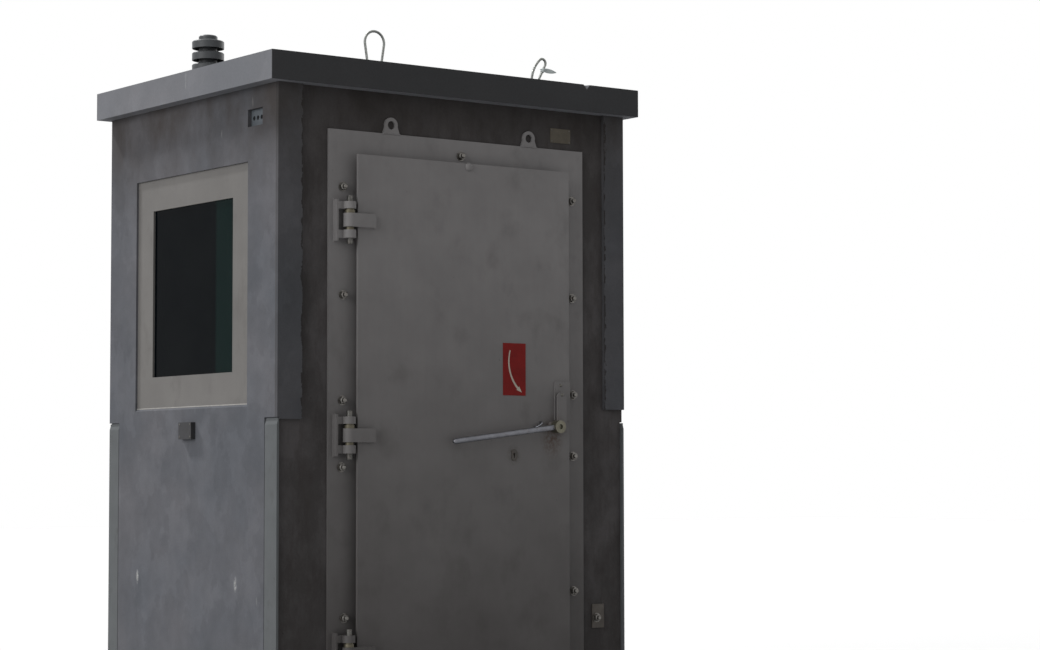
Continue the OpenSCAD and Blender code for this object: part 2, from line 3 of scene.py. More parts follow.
import bmesh
import bpy
import numpy as np
from bpy.props import FloatProperty, FloatVectorProperty, IntProperty, PointerProperty
from mathutils import Matrix, Vector


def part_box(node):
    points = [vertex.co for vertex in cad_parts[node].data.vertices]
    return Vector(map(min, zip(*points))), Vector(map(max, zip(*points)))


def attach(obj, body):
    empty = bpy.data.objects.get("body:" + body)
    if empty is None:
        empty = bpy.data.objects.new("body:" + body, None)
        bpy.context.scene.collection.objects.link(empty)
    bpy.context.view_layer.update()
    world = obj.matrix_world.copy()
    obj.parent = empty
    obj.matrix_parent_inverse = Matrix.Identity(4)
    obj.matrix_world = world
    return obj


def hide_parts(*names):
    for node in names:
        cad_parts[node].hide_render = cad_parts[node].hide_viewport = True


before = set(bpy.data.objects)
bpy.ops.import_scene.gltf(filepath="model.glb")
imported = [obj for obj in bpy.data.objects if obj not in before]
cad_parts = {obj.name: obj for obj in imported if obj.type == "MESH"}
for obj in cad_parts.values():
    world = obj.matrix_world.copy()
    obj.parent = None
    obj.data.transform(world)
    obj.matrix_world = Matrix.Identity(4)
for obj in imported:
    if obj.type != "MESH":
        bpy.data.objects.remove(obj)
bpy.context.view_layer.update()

bl_info = {
    "name": "Security Guard Booth Finish",
    "version": (1, 0, 0),
    "blender": (4, 5, 0),
    "location": "View3D > Sidebar > Booth",
    "description": "Finishes, fasteners, welds, wire ropes and stage for a precast guard booth",
    "category": "Object",
}

MM = 0.001
FORWARDS = (0, -1, 0)
LEFTWARDS = (-1, 0, 0)
SHELL = ["floor_slab", "back_wall", "left_wall", "right_wall", "front_left_pier",
         "front_right_pier", "front_lintel", "front_sill", "roof_slab"]
PRIMED = ["door_frame", "frame_lifting_eyes", "hinge_brackets", "door_plate", "door_core",
          "door_inner_case", "hinge_straps", "latch_guard"]
PRIMER = "grey_primer_on_steel"
PIN_STEEL = "greased_bright_steel"


def linear(code):
    """Linear colour of an sRGB hex value."""
    values = [int(code[i:i + 2], 16) / 255 for i in (1, 3, 5)]
    return tuple(v / 12.92 if v <= 0.04045 else ((v + 0.055) / 1.055) ** 2.4 for v in values)


def add(tree, kind, inputs=(), **settings):
    """Adds a node with its settings. Its inputs come by name or in order, and each is a value,
    a hex colour, a socket, or another node, whose first output in use is linked. A list is joined."""
    node = tree.nodes.new(kind)
    for key, value in settings.items():
        setattr(node, key, value)
    for key, given in inputs.items() if isinstance(inputs, dict) else enumerate(inputs):
        socket = node.inputs[key]
        for value in given if isinstance(given, list) else [given]:
            if isinstance(value, bpy.types.Node):
                value = next(output for output in value.outputs if output.enabled)
            if isinstance(value, bpy.types.NodeSocket):
                tree.links.new(value, socket)
            elif socket.type == "RGBA":
                socket.default_value = (*(linear(value) if isinstance(value, str) else value), 1)
            else:
                socket.default_value = value
    return node


def new_material(name):
    """An empty material, its node tree and its Object coordinates."""
    material = bpy.data.materials.new(name)
    material.use_nodes = True
    material.node_tree.nodes.clear()
    return material, material.node_tree, add(material.node_tree, "ShaderNodeTexCoord").outputs["Object"]


def close_material(tree, tone, roughness, specular=0.5, bump=None, **others):
    """Ends a material with its shader. Roughness is a mask with the values at its 0 and 1, and a bump is
    a height, a strength and a depth in metres."""
    mask, at_none, at_full = roughness
    inputs = {"Base Color": tone, "Specular IOR Level": specular, **others,
              "Roughness": add(tree, "ShaderNodeMapRange", (mask, 0, 1, at_none, at_full))}
    if bump:
        inputs["Normal"] = add(tree, "ShaderNodeBump", dict(zip(("Height", "Strength", "Distance"), bump)))
    add(tree, "ShaderNodeOutputMaterial", (add(tree, "ShaderNodeBsdfPrincipled", inputs),))


def clouds(tree, place, size, levels=None, detail=3.0, roughness=0.55, stretch=(1, 1, 1)):
    """Noise with features of about this size in metres, stretched along some axes. Levels are two
    pairs of a noise value and the grey that it becomes, and without them the noise stays as it is."""
    spread = add(tree, "ShaderNodeMapping", {"Vector": place, "Scale": tuple(1 / s for s in stretch)})
    noise = add(tree, "ShaderNodeTexNoise", {
        "Vector": spread, "Scale": 1 / size, "Detail": detail, "Roughness": roughness})
    if levels is None:
        return noise
    greys = add(tree, "ShaderNodeValToRGB", (noise,))
    for element, (value, grey) in zip(greys.color_ramp.elements, levels):
        element.position = value
        element.color = (grey, grey, grey, 1)
    return greys


def cover(tree, tone, *layers, mode="MIX"):
    """Lays other colours over a tone in turn, each by the product of its shares."""
    for other, amount, *shares in layers:
        for share in shares:
            amount = add(tree, "ShaderNodeMath", (amount, share), operation="MULTIPLY")
        tone = add(tree, "ShaderNodeMix", {0: amount, 6: tone, 7: other}, data_type="RGBA", blend_type=mode)
    return tone


def apply_material(nodes, material):
    """Gives CAD nodes a material in place of their own."""
    for name in nodes:
        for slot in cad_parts[name].material_slots:
            slot.material = material


def middle(node):
    """The middle of a CAD node's box."""
    return tuple((a + b) / 2 for a, b in zip(*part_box(node)))


def mesh_object(name, mesh):
    """Puts a mesh into the scene as an object at the origin."""
    obj = bpy.data.objects.new(name, mesh)
    bpy.context.scene.collection.objects.link(obj)
    return obj


def keep(name, mesh, body):
    """Makes a finished mesh a piece of the object, with its body."""
    piece = mesh_object(name, mesh)
    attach(piece, body)
    return piece


def colour_setting(name, description, code):
    """A colour in the panel, set to a hex value."""
    return FloatVectorProperty(name=name, description=description, default=linear(code), subtype="COLOR",
                               size=3, min=0, max=1)


def length_setting(name, description, default):
    """A length in the panel, from a tenth to five times its default in metres."""
    return FloatProperty(name=name, description=description, default=default, unit="LENGTH",
                         min=default / 10, max=default * 5)


class BoothConcrete(bpy.types.PropertyGroup):
    base: colour_setting("Concrete", "Colour of the clean concrete", "#5b5b5f")
    patch: colour_setting("Patches", "Colour of the bluish patches", "#53555a")
    stain: colour_setting("Stains", "Brown stains in the front panel", "#3a3736")
    # Grime under the roof, which also carries painted shade of the overhang
    grime_and_shade: colour_setting("Grime", "Grime under the roof", "#37322f")
    # Painted shade: how much darker the front faces are drawn
    front_painted_shade: FloatProperty(
        name="Front tone", description="How much darker the front was cast", default=0.4, min=0, max=1,
        subtype="FACTOR")
    left_strip: length_setting("Left strip", "Width of the strip left of the door", 98 * MM)
    right_strip: length_setting("Right strip", "Width of the strip right of the door", 92 * MM)
    patch_size: length_setting("Patch size", "Typical size of a tone patch", 420 * MM)
    pit_size: length_setting("Pit spacing", "Typical distance between air pits", 55 * MM)


class BoothPaint(bpy.types.PropertyGroup):
    primer: colour_setting("Door primer", "Primer of the door and frame", "#6f6d6d")
    window: colour_setting("Window paint", "Paint of the window frames", "#615f5d")
    corner: colour_setting("Corner coat", "Coat of the corner plates", "#505355")
    sign: colour_setting("Sign enamel", "Red enamel of the sign plate", "#6a1311")
    smudge_size: length_setting("Smudge size", "Typical size of a smudge on the paint", 160 * MM)


class BoothFasteners(bpy.types.PropertyGroup):
    nut_width: length_setting("Nut width", "Across the flats of the frame nuts", 25 * MM)
    nut_height: length_setting("Nut height", "Height of the frame nuts", 12 * MM)
    stud_radius: length_setting("Stud radius", "Radius of the frame studs", 8 * MM)
    stud_length: length_setting("Stud length", "How far a frame stud stands out", 21 * MM)
    washer_radius: length_setting("Washer radius", "Radius of the frame washers", 17 * MM)
    thread_pitch: length_setting("Thread pitch", "Pitch of the threads on the hinge pins", 2.5 * MM)


class BoothRope(bpy.types.PropertyGroup):
    diameter: length_setting("Rope diameter", "Diameter over the strands", 10 * MM)
    strands: IntProperty(
        name="Strands", description="Strands laid round the core", default=6, min=3, max=8)
    lay: length_setting("Lay length", "Length of one turn of a strand", 62 * MM)


class BoothStage(bpy.types.PropertyGroup):
    camera_place: FloatVectorProperty(
        name="Camera place", description="Where the camera stands", size=3, default=(-5.273, -8.039, 0.941),
        subtype="TRANSLATION", unit="LENGTH")
    heading: FloatProperty(
        name="Heading", description="Camera heading from the back towards the right",
        default=math.radians(36.685), subtype="ANGLE")
    pitch: FloatProperty(
        name="Pitch", description="How far the camera looks up", default=math.radians(3.48), subtype="ANGLE")
    roll: FloatProperty(
        name="Roll", description="Camera roll", default=math.radians(-0.101), subtype="ANGLE")
    focal_pixels: FloatProperty(
        name="Focal length in pixels", description="Focal length in pixels of a picture 1040 pixels wide",
        default=2575.8, min=100, max=9000)


GROUPS = (BoothConcrete, BoothPaint, BoothFasteners, BoothRope, BoothStage)


# Places of the two pale chips low on the left wall, along it and up it, and their reach
PALE_CHIPS = ((0.376, 0.597), (-0.327, 0.590))
CHIP_REACH = (20 * MM, 12 * MM, 30 * MM)
# Masks start this far inside the face that they belong to
MASK_GAP = 1 * MM
# Heights where each of these starts and where it is full, and where the painted band of light on the glass
# lies along Y
EAVES_GRIME_AND_SHADE, EAVES_DAMP_AND_SHADE, DOOR_DARKENING = (1.9, 2.22), (2.08, 2.24), (1.75, 0.35)
GLASS_LIGHT_BAND = (-0.150, -0.165)


def concrete(name, settings):
    """Cast concrete, struck from a steel mould: soft patches, faint runs, fine sand and a few air pits."""
    material, tree, place = new_material(name)
    _, y, z = add(tree, "ShaderNodeSeparateXYZ", (place,)).outputs
    left, right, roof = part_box("left_wall"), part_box("right_wall"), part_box("roof_slab")
    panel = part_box("front_left_pier")[0][1]
    broad = clouds(tree, place, settings.patch_size, ((0.36, 0), (0.64, 1)), 5)
    mottle = clouds(tree, place, 80 * MM, ((0.3, 0.86), (0.72, 1.1)), 5, 0.62)
    drips = clouds(tree, place, 50 * MM, ((0.36, 0.93), (0.62, 1.02)), 3, 0.5, (1, 1, 7))
    # Soft-edged blotches where the mould oil lay unevenly
    oil = clouds(tree, place, 190 * MM, ((0.49, 0.88), (0.53, 1.02)), 4, 0.62, (1, 1, 1.3))
    smears = clouds(tree, place, 30 * MM, ((0.76, 0), (0.81, 1)), 1.5, 0.4, (1, 1, 3.2))
    tone = cover(tree, settings.base, (settings.patch, broad))
    tone = cover(tree, tone, (mottle, 0.85), (drips, 0.3), (oil, 0.75), mode="MULTIPLY")
    tone = cover(tree, tone, ("#8f908f", smears, 0.3), *(
        ("#9a9a99", blot(tree, place, (left[0][0], along, up), CHIP_REACH)) for along, up in PALE_CHIPS))
    walls, roof_front, front, strips = (
        add(tree, "ShaderNodeMath", (axis, edge), operation="LESS_THAN") for axis, edge in (
            (z, roof[0][2] - MASK_GAP), (y, roof[0][1] + 3 * MASK_GAP), (y, panel + MASK_GAP),
            (y, left[0][1] + MASK_GAP)))
    # Grime that rain washes out from under the roof slab, together with painted shade of the roof's
    # overhang, on the walls only
    eaves = add(tree, "ShaderNodeMapRange", (z, *EAVES_GRIME_AND_SHADE))
    grime_and_shade = clouds(tree, place, 160 * MM, ((0.36, 0.3), (0.66, 0.8)), 4, 0.6, (1, 1, 1.6))
    tone = cover(tree, tone, (settings.grime_and_shade, eaves, walls, grime_and_shade))
    # Painted shade: the front faces are drawn a tone darker, as if they stood in shade
    forward = add(tree, "ShaderNodeMath", (front, walls), operation="MULTIPLY")
    forward = add(tree, "ShaderNodeMath", (forward, roof_front), operation="MAXIMUM")
    tone = cover(tree, tone, ("#2b2a29", forward, settings.front_painted_shade))
    # The slab is drawn lighter than the walls, and its front face darker, partly dirt and partly painted
    # shade
    slab = add(tree, "ShaderNodeMath", (1, walls), operation="SUBTRACT")
    tone = cover(tree, tone, ("#8b8c90", slab, 0.3), ("#232323", slab, forward, 0.8))
    # The recessed panel round the door is stained brown, with runs, and darker under the roof, where it is
    # wet and where painted shade of the overhang lies
    recessed = add(tree, "ShaderNodeMath", (y, panel - MASK_GAP), operation="GREATER_THAN")
    worn = clouds(tree, place, 130 * MM, ((0.38, 0), (0.6, 1)), 6, 0.62, (1, 1, 1.7))
    runs = clouds(tree, place, 35 * MM, ((0.5, 0), (0.68, 0.3)), 4, 0.6, (1, 1, 4))
    # Darker towards the roof, partly wet concrete and partly painted shade
    damp_and_shade = add(tree, "ShaderNodeMapRange", (z, *EAVES_DAMP_AND_SHADE, 0, 0.55))
    stained = cover(tree, "#4b4848", (settings.stain, worn), ("#2c2522", runs), ("#201d1b", damp_and_shade))
    tone = cover(tree, tone, (stained, forward, recessed, 0.85))
    # The inner edges of the two corner strips are chipped and dirty, and drawn dark with painted shade along
    # the step
    chip_and_shade_mask = add(tree, "ShaderNodeMath", (
        chipped_and_shaded_edge(tree, place, left[0][0] + settings.left_strip, 1),
        chipped_and_shaded_edge(tree, place, right[1][0] - settings.right_strip, -1)), operation="MAXIMUM")
    tone = cover(tree, tone, ("#231f1c", chip_and_shade_mask, strips, walls, forward))
    # Sand grain is 1 to 2 mm; it is drawn at 6 mm so that it shows
    grain = clouds(tree, place, 6 * MM, None, 2, 0.7)
    sandy = add(tree, "ShaderNodeMapRange", (grain, 0.3, 0.7, 0.93, 1.06))
    tone = cover(tree, tone, (sandy, 0.7), mode="MULTIPLY")
    # Air pits of differing size, in about one cell of four
    cells = add(tree, "ShaderNodeTexVoronoi", {"Vector": place, "Scale": 1 / settings.pit_size})
    chance = add(tree, "ShaderNodeSeparateColor", (cells.outputs["Color"],))
    radius = add(tree, "ShaderNodeMath", (chance, 0.72), operation="SUBTRACT")
    radius = add(tree, "ShaderNodeMath", (radius, 0.22), operation="MULTIPLY")
    hole = add(tree, "ShaderNodeMath", (cells.outputs["Distance"], radius), operation="LESS_THAN")
    tone = cover(tree, tone, ("#2c2b2a", hole, 0.4))
    height = add(tree, "ShaderNodeMath", (grain, 0.25), operation="MULTIPLY")
    for layer, depth in ((hole, -1), (mottle, 0.4)):
        height = add(tree, "ShaderNodeMath", (layer, depth, height), operation="MULTIPLY_ADD")
    close_material(tree, tone, (broad, 0.86, 0.95), 0.12, (height, 0.35, 2 * MM))
    return material


def chipped_and_shaded_edge(tree, place, edge, side):
    """A mask of ragged chipped spots and painted shade along an upright edge at this X, mostly on one side
    of it.
    """
    across = add(tree, "ShaderNodeSeparateXYZ", (place,))
    ragged = clouds(tree, place, 30 * MM, ((0.42, 0.08), (0.66, 1)), 5, 0.75, (1, 1, 1.8))
    reach = add(tree, "ShaderNodeMath", (ragged, 16 * MM), operation="MULTIPLY")
    away = add(tree, "ShaderNodeMath", (across, edge + side * 3 * MM), operation="SUBTRACT")
    away = add(tree, "ShaderNodeMath", (away,), operation="ABSOLUTE")
    inside = add(tree, "ShaderNodeMath", (away, reach), operation="LESS_THAN")
    return add(tree, "ShaderNodeMath", (inside, 0.75), operation="MULTIPLY")


def distance(tree, place, centre, weights):
    """How far a place is from a centre, with a weight for each axis."""
    for operation, other in (("SUBTRACT", (centre,)), ("MULTIPLY", (weights,)), ("LENGTH", ())):
        place = add(tree, "ShaderNodeVectorMath", (place, *other), operation=operation)
    return place


def blot(tree, place, centre, reach):
    """A mask that fades from 1 at a centre to 0 at its reach, broken up by noise."""
    away = distance(tree, place, centre, tuple(1 / r for r in reach))
    near = add(tree, "ShaderNodeMapRange", (away, 1, 0.3))
    broken = clouds(tree, place, 12 * MM, ((0.38, 0.1), (0.62, 1)), 5, 0.65)
    return add(tree, "ShaderNodeMath", (near, broken), operation="MULTIPLY")


def painted_steel(name, colour, smudge_size, fade=0.0, roughness=0.55, worn=()):
    """Primer rolled onto steel: soft clouds, hand smudges, and a tone that darkens towards the bottom."""
    material, tree, place = new_material(name)
    broad = clouds(tree, place, smudge_size, ((0.3, 0.88), (0.7, 1.08)), 5)
    brush = clouds(tree, place, 20 * MM, ((0.3, 0.97), (0.7, 1.02)), 2, 0.5, (1, 1, 12))
    marks = clouds(tree, place, smudge_size * 0.6, ((0.56, 0), (0.78, 1)), 4, 0.55, (1, 1, 1.4))
    specks = clouds(tree, place, 18 * MM, ((0.74, 0), (0.78, 1)), 3, 0.5)
    low_clouds = clouds(tree, place, 300 * MM, ((0.3, 0.75), (0.7, 1)), 4, 0.6)
    height = add(tree, "ShaderNodeSeparateXYZ", (place,)).outputs["Z"]
    low = add(tree, "ShaderNodeMapRange", (height, *DOOR_DARKENING))
    tone = cover(tree, colour, (broad, 0.8), (brush, 0.6), mode="MULTIPLY")
    tone = cover(tree, tone, ("#3d3a37", marks, 0.22), ("#33302e", specks, 0.25),
                 ("#3b3837", low, low_clouds, fade), *(
                     (code, blot(tree, place, centre, reach), 0.8) for centre, reach, code in worn))
    peel = clouds(tree, place, 4 * MM, None, 2, 0.6)
    close_material(tree, tone, (marks, roughness, roughness + 0.2), 0.2, (peel, 0.1, 0.6 * MM))
    return material


def bare_metal(name, code, roughness=0.42, rust=0.0, spread=20 * MM, metallic=1.0):
    """Plated or bare metal: cloudy plating, fine scratches and rust where it is old."""
    material, tree, place = new_material(name)
    plating = clouds(tree, place, spread, ((0.3, 0.78), (0.7, 1.12)), 4, 0.6)
    spots = clouds(tree, place, spread * 0.6, ((0.62 - 0.25 * rust, 0), (0.75, 1)), 6, 0.7)
    scratches = clouds(tree, place, 1.5 * MM, None, 2, 0.5, (14, 1, 1))
    rusted = add(tree, "ShaderNodeMath", (spots, rust), operation="MULTIPLY")
    tone = cover(tree, code, (plating, 0.8), mode="MULTIPLY")
    tone = cover(tree, tone, ("#5a3a26", rusted))
    # Rust takes the metal's lustre away
    shine = add(tree, "ShaderNodeMath", (rusted, -0.9, metallic), operation="MULTIPLY_ADD")
    height = add(tree, "ShaderNodeMath", (scratches, spots), operation="ADD")
    close_material(tree, tone, (plating, roughness + 0.15, roughness), 0.25, (height, 0.15, 0.5 * MM),
                   Metallic=shine)
    return material


def grey_plastic(name, code, core=None):
    """Moulded PVC that has stood outside: even grey, chalky, with dust in patches, and a core drawn dark as
    painted shade.
    """
    material, tree, place = new_material(name)
    chalk = clouds(tree, place, 50 * MM, ((0.3, 0.86), (0.7, 1.1)), 4, 0.6)
    tone = cover(tree, code, (chalk, 0.8), mode="MULTIPLY")
    if core:
        x, y, radius = core
        away = distance(tree, place, (x, y, 0), (1, 1, 0))
        # Painted shade: the neck within this radius is drawn dark
        painted_shade_core = add(tree, "ShaderNodeMath", (away, radius), operation="LESS_THAN")
        tone = cover(tree, tone, ("#17181a", painted_shade_core, 0.7))
    height = clouds(tree, place, 3 * MM, None, 2)
    close_material(tree, tone, (chalk, 0.6, 0.45), 0.2, (height, 0.1, 0.5 * MM))
    return material


def enamel(name, colour, wear=0.25):
    """Enamel on thin sheet: smooth and a little glossy, faded and scuffed by weather."""
    material, tree, place = new_material(name)
    fade = clouds(tree, place, 50 * MM, ((0.3, 0.8), (0.7, 1.15)), 4, 0.6)
    scuffs = clouds(tree, place, 12 * MM, ((0.62, 0), (0.74, 1)), 5, 0.7)
    tone = cover(tree, colour, (fade, 0.8), mode="MULTIPLY")
    tone = cover(tree, tone, ("#8a6a60", scuffs, wear))
    close_material(tree, tone, (scuffs, 0.4, 0.65), 0.1)
    return material


def laminated_glass(name):
    """Thick laminated glass: a deep green body, a painted band of light along its front edge, and a faint
    film of dust.
    """
    material, tree, place = new_material(name)
    dust = clouds(tree, place, 200 * MM, ((0.35, 0), (0.75, 1)), 5, 0.6)
    # Painted light: a lighter green band along the front edge stands for light inside the booth
    along = add(tree, "ShaderNodeSeparateXYZ", (place,)).outputs["Y"]
    painted_light_band = add(tree, "ShaderNodeMapRange", (along, *GLASS_LIGHT_BAND))
    tone = cover(tree, "#070d12", ("#122726", painted_light_band), ("#8a8f8a", dust, 0.015))
    # The dusty film takes most of the mirror reflection off, which a lower refraction gives
    close_material(tree, tone, (dust, 0.03, 0.09), IOR=1.08, **{"Transmission Weight": 0.55})
    return material


class BOOTH_OT_concrete(bpy.types.Operator):
    """Finish the concrete shell"""
    bl_idname = "booth.concrete"
    bl_label = "Concrete shell"

    def execute(self, context):
        apply_material(SHELL, concrete("cast_concrete", context.scene.booth_concrete))
        return {"FINISHED"}


class BOOTH_OT_steelwork(bpy.types.Operator):
    """Paint the door, its frame, the hinges, the window frames, the corner plates and the port cover"""
    bl_idname = "booth.steelwork"
    bl_label = "Painted steelwork"
    rust_below_hub = 35 * MM
    hub_reach = (60 * MM, 90 * MM, 90 * MM)
    keyhole_reach = (35 * MM, 50 * MM, 40 * MM)

    def execute(self, context):
        paint = context.scene.booth_paint
        smudge = paint.smudge_size
        hub, keyhole = middle("lever_hub"), middle("key_escutcheon")
        below_hub = (hub[0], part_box("latch_guard")[0][1], hub[2] - self.rust_below_hub)
        # Rust and grease run down from the hub, and hands rub dirt in round the keyhole
        worn = ((below_hub, self.hub_reach, "#3d2a1b"), (keyhole, self.keyhole_reach, "#3f3933"))
        for nodes, *finish in (
                (PRIMED, PRIMER, paint.primer, smudge, 0.85, 0.55, worn),
                # Cleaner paint, which shows a little sheen
                (["window_frames", "window_linings", "window_retainers"], "warm_grey_paint_on_steel",
                 paint.window, smudge, 0.0, 0.5),
                # A thicker coat that dulls in the weather
                (["corner_plates"], "smooth_coat_on_corner_plates", paint.corner, smudge / 2, 0.15, 0.6),
                # Near black paint, which stands out from the wall as a dark square
                (["port_cover"], "dark_grey_paint_on_cover", "#2d2d2f", 50 * MM)):
            apply_material(nodes, painted_steel(*finish))
        return {"FINISHED"}


class BOOTH_OT_fittings(bpy.types.Operator):
    """Finish the lever, the lock parts, the pins, the small plates, the vent and the glass"""
    bl_idname = "booth.fittings"
    bl_label = "Fittings and glass"
    vent_core = 36 * MM
    # Pieces, name, colour, roughness and rust, and then the size of the plating's clouds and metallic
    metals = (
        # Zinc plating is bluish and half dull, with rust where hands wear it off
        (["lever_bar", "padlock_staple"], "zinc_plated_steel", "#6c6d72", 0.4, 0.3),
        # Passivation turns zinc yellowish and takes its shine
        (["lever_hub"], "yellow_passivated_zinc", "#67655a", 0.5, 0.3),
        # Brass left in the weather is dull and brown
        (["hinge_washers"], "dull_brass", "#59554a", 0.55, 0.12),
        # Turned pins stay bright under grease that gathers dirt
        (["hinge_pins"], PIN_STEEL, "#6f6e6b", 0.45, 0.4),
        # A zinc casting is dark, dull and hardly mirrors
        (["key_escutcheon"], "dull_cast_zinc", "#494643", 0.6, 0.3, 20 * MM, 0.4),
        # Coated sheet is bluish and flat in tone
        (["cable_inlet"], "zinc_coated_sheet", "#4f5459", 0.6, 0.1, 30 * MM, 0.3),
        # Old galvanising is matt and brownish
        (["earth_plate"], "galvanised_steel", "#4d4945", 0.6, 0.25, 30 * MM, 0.4),
        # The lacquer on the aluminium has yellowed
        (["label_plate"], "yellowed_aluminium", "#464138", 0.6, 0.1, 30 * MM, 0.2),
    )

    def execute(self, context):
        for nodes, *finish in self.metals:
            apply_material(nodes, bare_metal(*finish))
        apply_material(["sign_plate"], enamel("red_enamel_on_sheet", context.scene.booth_paint.sign, 0.12))
        core = (*middle("vent_pipe")[:2], self.vent_core)
        # The neck that shows between the skirts is drawn dark as painted shade, and the outer skirts are
        # chalky
        apply_material(["vent_pipe", "vent_cowl"], grey_plastic("sooty_grey_pvc", "#47494b", core))
        apply_material(["vent_cap"], grey_plastic("chalky_grey_pvc", "#47494b"))
        apply_material(["loop_tag"], grey_plastic("pale_tape_flag", "#b9c0bf"))
        apply_material(["window_glass"], laminated_glass("laminated_security_glass"))
        return {"FINISHED"}


def node_group(name, lengths, counts=()):
    """A geometry tree with named lengths and counts. Returns it with the sockets of what it is given."""
    tree = bpy.data.node_groups.new(name, "GeometryNodeTree")
    tree.interface.new_socket("Geometry", in_out="OUTPUT", socket_type="NodeSocketGeometry")
    sockets = [("Geometry", "Geometry")] + [(label, "Float") for label in lengths]
    sockets += [(label, "Int") for label in counts] + [("Material", "Material")]
    for label, kind in sockets:
        tree.interface.new_socket(label, in_out="INPUT", socket_type="NodeSocket" + kind)
    return tree, add(tree, "NodeGroupInput").outputs


def close_group(tree, given, geometry):
    """Ends a geometry tree with Realize Instances and Set Material."""
    real = add(tree, "GeometryNodeRealizeInstances", (geometry,))
    done = add(tree, "GeometryNodeSetMaterial", {"Geometry": real, "Material": given["Material"]})
    add(tree, "NodeGroupOutput", (done,))
    return tree


def grow(name, body, carrier, tree, values):
    """Runs a geometry tree on a carrier object and keeps the result, a plain mesh, as a piece."""
    modifier = carrier.modifiers.new("build", "NODES")
    modifier.node_group = tree
    sockets = {s.name: s.identifier for s in tree.interface.items_tree if s.in_out == "INPUT"}
    for label, value in values.items():
        modifier[sockets[label]] = value
    bpy.context.view_layer.update()
    evaluated = carrier.evaluated_get(bpy.context.evaluated_depsgraph_get())
    mesh = bpy.data.meshes.new_from_object(evaluated)
    carrier.modifiers.remove(modifier)
    bpy.data.objects.remove(carrier)
    mesh.name = name
    if not mesh.polygons:
        raise RuntimeError(name + " came out empty")
    return keep(name, mesh, body)


def points_object(name, points, facing):
    """Loose points that carry the direction in which the fasteners on them point."""
    mesh = bpy.data.meshes.new(name)
    mesh.from_pydata(points, [], [])
    axis = mesh.attributes.new("axis", "FLOAT_VECTOR", "POINT")
    axis.data.foreach_set("vector", np.array([facing] * len(points), dtype=float).ravel())
    return mesh_object(name, mesh)


def runs_object(name, ends):
    """Separate straight runs, each between two of the ends in turn."""
    mesh = bpy.data.meshes.new(name)
    mesh.from_pydata(ends, [(i, i + 1) for i in range(0, len(ends), 2)], [])
    return mesh_object(name, mesh)


def stand_on_points(tree, given, shape, spin=None):
    """Stands a shape on every point along the point's axis, and turns it about that by a spin."""
    axis = add(tree, "GeometryNodeInputNamedAttribute", {"Name": "axis"}, data_type="FLOAT_VECTOR")
    aim = add(tree, "FunctionNodeAlignRotationToVector", {"Vector": axis}, axis="Z")
    if spin:
        turn = add(tree, "FunctionNodeAxisAngleToRotation", {"Axis": (0, 0, 1), "Angle": spin})
        aim = add(tree, "FunctionNodeRotateRotation", (aim, turn), rotation_space="LOCAL")
    placed = add(tree, "GeometryNodeInstanceOnPoints",
                 {"Points": given["Geometry"], "Instance": shape, "Rotation": aim})
    return close_group(tree, given, placed)


def even_path(tree, given, step):
    """Turns the carrier's edges into paths with points at even steps."""
    path = add(tree, "GeometryNodeMeshToCurve", {"Mesh": given["Geometry"]})
    return add(tree, "GeometryNodeResampleCurve", {"Curve": path, "Length": step}, mode="LENGTH")


# Parts of a nut and stud as shares of a given size; the hexagon's corners lie 1 / sqrt 3 of its flats out
NUT_SHARES = {
    "washer": ("Nut height", 0.2), "half washer": ("Nut height", 0.1),
    "body": ("Nut height", 0.82), "body middle": ("Nut height", 0.61),
    "chamfer": ("Nut height", 0.18), "chamfer middle": ("Nut height", 1.02),
    "corner": ("Nut width", 1 / math.sqrt(3)), "chamfer foot": ("Nut width", 0.88 / math.sqrt(3)),
    "chamfer rim": ("Nut width", 0.72 / math.sqrt(3)), "half stud": ("Stud length", 0.5),
    "tip rim": ("Stud radius", 0.7), "tip": ("Stud radius", 0.25),
}
FULL_SPIN = 1.05


def fastener_tree():
    """A washer, a chamfered hex nut and a stud end on every point, turned at random."""
    tree, size = node_group("hex_fasteners", ("Nut width", "Nut height", "Stud radius", "Stud length",
                                              "Washer radius"), ("Seed",))
    part = {name: add(tree, "ShaderNodeMath", (size[given], share), operation="MULTIPLY")
            for name, (given, share) in NUT_SHARES.items()}
    cylinder, cone = "GeometryNodeMeshCylinder", "GeometryNodeMeshCone"
    shapes = (
        (cylinder, {"Vertices": 32, "Radius": size["Washer radius"], "Depth": part["washer"]},
         part["half washer"]),
        (cylinder, {"Vertices": 6, "Radius": part["corner"], "Depth": part["body"]}, part["body middle"]),
        (cone, {"Vertices": 24, "Radius Top": part["chamfer rim"], "Radius Bottom": part["chamfer foot"],
                "Depth": part["chamfer"]}, part["chamfer middle"]),
        (cylinder, {"Vertices": 24, "Radius": size["Stud radius"], "Depth": size["Stud length"]},
         part["half stud"]),
        (cone, {"Vertices": 24, "Radius Top": part["tip rim"], "Radius Bottom": size["Stud radius"],
                "Depth": part["tip"]}, size["Stud length"]))
    joined = add(tree, "GeometryNodeJoinGeometry", ([add(tree, "GeometryNodeTransform", {
        "Geometry": add(tree, kind, sizes), "Translation": add(tree, "ShaderNodeCombineXYZ", {"Z": height})})
        for kind, sizes, height in shapes],))
    spin = add(tree, "FunctionNodeRandomValue", {"Min": 0.0, "Max": FULL_SPIN, "Seed": size["Seed"]},
               data_type="FLOAT")
    return stand_on_points(tree, size, joined, spin)


def dome_tree():
    """A low dome on every point, for rivets and pan heads."""
    tree, size = node_group("dome_heads", ("Radius", "Height"))
    ball = add(tree, "GeometryNodeMeshUVSphere", {"Segments": 20, "Rings": 12, "Radius": 1})
    flat = add(tree, "ShaderNodeCombineXYZ", (size["Radius"], size["Radius"], size["Height"]))
    dome = add(tree, "GeometryNodeTransform", {"Geometry": ball, "Scale": flat})
    return stand_on_points(tree, size, dome)


